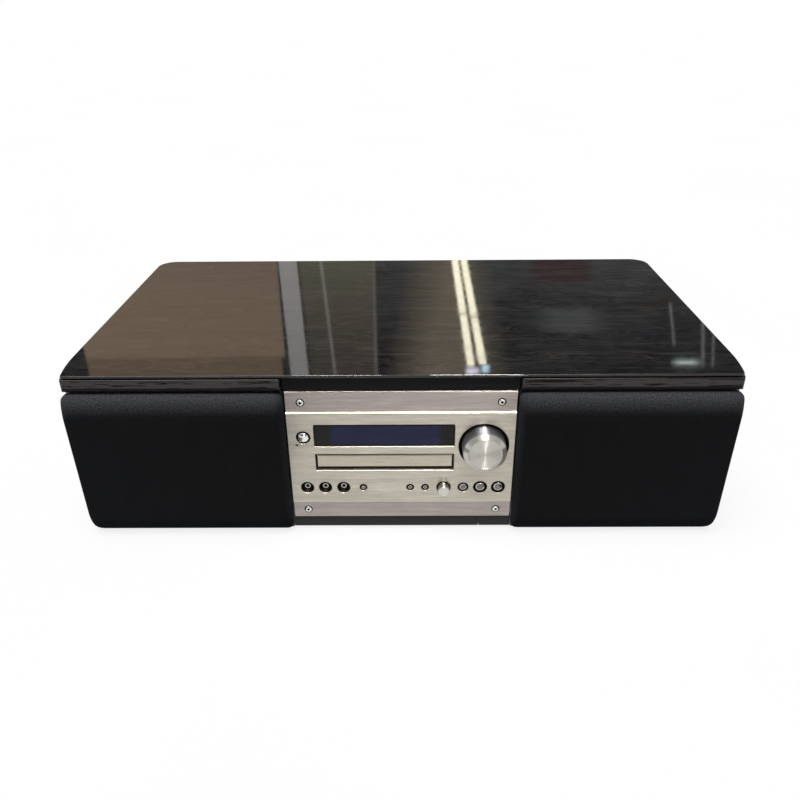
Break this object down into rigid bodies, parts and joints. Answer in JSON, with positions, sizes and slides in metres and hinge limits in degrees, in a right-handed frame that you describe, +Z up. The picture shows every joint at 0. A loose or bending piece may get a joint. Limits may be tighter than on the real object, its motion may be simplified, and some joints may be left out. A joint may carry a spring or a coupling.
{
  "type": "cd receiver",
  "caption": "Desktop disc receiver in one piece: a gloss black board spans cloth-fronted speaker cabinets and an aluminium centre with disc drawer, dark window, buttons and a large knob.",
  "frame": {"origin": "middle of the footprint, on the plane under the feet", "axes": "+X to the right seen from the front, +Y from the front to the back, +Z up"},
  "size_m": [0.6164, 0.347, 0.172],
  "materials": {
    "black_lacquer": "gloss lacquer over fine grain",
    "cabinet_vinyl": "satin black wrap",
    "baffle_board": "matt black fibreboard",
    "grille_cloth": "black knit",
    "grille_moulding": "matt",
    "felt": "pressed felt",
    "rubber": "matt",
    "driver_steel": "satin black",
    "cone_paper": "matt grey pulp",
    "surround_rubber": "satin",
    "tweeter_plastic": "satin",
    "circuit_board": "green solder mask",
    "zinc_steel": "zinc plated",
    "black_steel": "fine textured black",
    "black_plastic": "satin",
    "plinth_plastic": "satin dark grey",
    "mauve_aluminium": "brushed along X",
    "pale_aluminium": "brushed along X",
    "screw_steel": "bright",
    "smoked_window": "smoked, with a blue lit area",
    "tube_glass": "clear",
    "transformer_iron": "varnished core, taped winding",
    "sink_aluminium": "anodised",
    "plated_sockets": "nickel plated on black mouldings",
    "lamp": "clear red lens",
    "chrome_button": "polished",
    "button_metal": "satin turned",
    "knob_aluminium": "lathe turned",
    "deck_plastic": "moulded black",
    "gear_plastic": "natural nylon",
    "motor_steel": "plain",
    "sled_plastic": "moulded black with a glass lens"
  },
  "bodies": {
    "receiver": {"ac_inlet": "black_plastic", "antenna_terminal": "plated_sockets", "case_cover": "black_steel", "chassis_pan": "zinc_steel", "clamp_bridge": "zinc_steel", "control_board": "circuit_board", "crossover_boards": "circuit_board", "deck_frame": "deck_plastic", "display_tube": "tube_glass", "display_window": "smoked_window", "face_base_plate": "mauve_aluminium", "face_main_plate": "pale_aluminium", "face_screws": "screw_steel", "felt_spacers": "felt", "front_rails": "black_lacquer", "front_subpanel": "black_plastic", "header_strip": "black_plastic", "heat_sink": "sink_aluminium", "input_jacks": "plated_sockets", "left_cabinet": "cabinet_vinyl", "left_speaker_baffle": "baffle_board", "left_woofer_frame": "driver_steel", "loading_motor": "motor_steel", "main_board": "circuit_board", "plinth_strip": "plinth_plastic", "power_transformer": "transformer_iron", "rca_jacks": "plated_sockets", "rear_panel": "black_steel", "right_cabinet": "cabinet_vinyl", "right_speaker_baffle": "baffle_board", "right_woofer_frame": "driver_steel", "rubber_feet": "rubber", "standby_led": "lamp", "top_board": "black_lacquer", "tweeters": "tweeter_plastic", "woofer_surrounds": "surround_rubber"},
    "left_grille": {"left_grille_frame": "grille_moulding", "left_grille_cloth": "grille_cloth"},
    "right_grille": {"right_grille_frame": "grille_moulding", "right_grille_cloth": "grille_cloth"},
    "left_cone": {"left_woofer_cone": "cone_paper"},
    "right_cone": {"right_woofer_cone": "cone_paper"},
    "volume_control": {"volume_knob": "knob_aluminium"},
    "selector_control": {"selector_knob": "knob_aluminium"},
    "tray": {"disc_tray": "deck_plastic", "tray_front": "pale_aluminium"},
    "tray_gear": {"loading_gear": "gear_plastic"},
    "tray_motor_gear": {"motor_pinion": "gear_plastic"},
    "traverse": {"traverse_frame": "motor_steel"},
    "disc_table": {"turntable": "gear_plastic"},
    "pickup": {"pickup_sled": "sled_plastic"},
    "pickup_screw": {"lead_screw": "motor_steel"},
    "clamp": {"clamp_puck": "gear_plastic"},
    "power_button_body": {"power_button": "chrome_button"},
    "dimmer_button_body": {"dimmer_button": "button_metal"},
    "program_button_body": {"program_button": "button_metal"},
    "repeat_button_body": {"repeat_button": "button_metal"},
    "eject_button_body": {"eject_button": "button_metal"},
    "play_button_body": {"play_button": "button_metal"},
    "stop_button_body": {"stop_button": "button_metal"}
  },
  "joints": [
    {"name": "left_grille_pull", "type": "slide", "parent": "receiver", "child": "left_grille", "axis": [0, -1, 0], "range_m": [0, 0.012]},
    {"name": "right_grille_pull", "type": "slide", "parent": "receiver", "child": "right_grille", "axis": [0, -1, 0], "range_m": [0, 0.012]},
    {"name": "left_cone_stroke", "type": "slide", "parent": "receiver", "child": "left_cone", "axis": [0, 1, 0], "range_m": [-0.003, 0.003], "stiffness_N_per_m": 1000},
    {"name": "right_cone_stroke", "type": "slide", "parent": "receiver", "child": "right_cone", "axis": [0, 1, 0], "range_m": [-0.003, 0.003], "stiffness_N_per_m": 1000},
    {"name": "tray_slide", "type": "slide", "parent": "receiver", "child": "tray", "axis": [0, -1, 0], "range_m": [0, 0.132]},
    {"name": "tray_gear_turn", "type": "hinge", "parent": "receiver", "child": "tray_gear", "pos_m": [0.034, -0.1215, 0.06575], "axis": [0, 0, 1], "range_deg": [-946.4, 1]},
    {"name": "tray_motor_turn", "type": "hinge", "parent": "receiver", "child": "tray_motor_gear", "pos_m": [0.01545, -0.1215, 0.06575], "axis": [0, 0, 1], "range_deg": [-1, 2679.6]},
    {"name": "traverse_tilt", "type": "hinge", "parent": "receiver", "child": "traverse", "pos_m": [-0.0158, -0.00835, 0.06775], "axis": [1, 0, 0], "range_deg": [0, 6]},
    {"name": "disc_spin", "type": "hinge", "parent": "traverse", "child": "disc_table", "pos_m": [-0.0158, -0.08635, 0.07675], "axis": [0, 0, 1], "continuous": true},
    {"name": "pickup_slide", "type": "slide", "parent": "traverse", "child": "pickup", "axis": [0, 1, 0], "range_m": [0, 0.034]},
    {"name": "pickup_screw_turn", "type": "hinge", "parent": "traverse", "child": "pickup_screw", "pos_m": [0.0122, -0.04635, 0.07275], "axis": [0, 1, 0], "range_deg": [-1, 4081]},
    {"name": "clamp_spin", "type": "hinge", "parent": "receiver", "child": "clamp", "pos_m": [-0.0158, -0.08635, 0.08675], "axis": [0, 0, 1], "continuous": true},
    {"name": "power_press", "type": "slide", "parent": "receiver", "child": "power_button_body", "axis": [0, 1, 0], "range_m": [0, 0.0012], "stiffness_N_per_m": 150},
    {"name": "dimmer_press", "type": "slide", "parent": "receiver", "child": "dimmer_button_body", "axis": [0, 1, 0], "range_m": [0, 0.0012], "stiffness_N_per_m": 150},
    {"name": "program_press", "type": "slide", "parent": "receiver", "child": "program_button_body", "axis": [0, 1, 0], "range_m": [0, 0.0012], "stiffness_N_per_m": 150},
    {"name": "repeat_press", "type": "slide", "parent": "receiver", "child": "repeat_button_body", "axis": [0, 1, 0], "range_m": [0, 0.0012], "stiffness_N_per_m": 150},
    {"name": "eject_press", "type": "slide", "parent": "receiver", "child": "eject_button_body", "axis": [0, 1, 0], "range_m": [0, 0.0012], "stiffness_N_per_m": 150},
    {"name": "play_press", "type": "slide", "parent": "receiver", "child": "play_button_body", "axis": [0, 1, 0], "range_m": [0, 0.0012], "stiffness_N_per_m": 150},
    {"name": "stop_press", "type": "slide", "parent": "receiver", "child": "stop_button_body", "axis": [0, 1, 0], "range_m": [0, 0.0012], "stiffness_N_per_m": 150},
    {"name": "volume_turn", "type": "hinge", "parent": "receiver", "child": "volume_control", "pos_m": [0.0766, -0.1555, 0.0976], "axis": [0, -1, 0], "continuous": true},
    {"name": "selector_turn", "type": "hinge", "parent": "receiver", "child": "selector_control", "pos_m": [0.0401, -0.1555, 0.0513], "axis": [0, -1, 0], "range_deg": [-135, 135]}
  ],
  "couplings": [
    {"joint": "tray_gear_turn", "follows": "tray_slide", "rad_per_m": -125},
    {"joint": "tray_motor_turn", "follows": "tray_slide", "rad_per_m": 354.17},
    {"joint": "pickup_screw_turn", "follows": "pickup_slide", "rad_per_m": 2094.4},
    {"joint": "clamp_spin", "follows": "disc_spin", "ratio": 1}
  ]
}
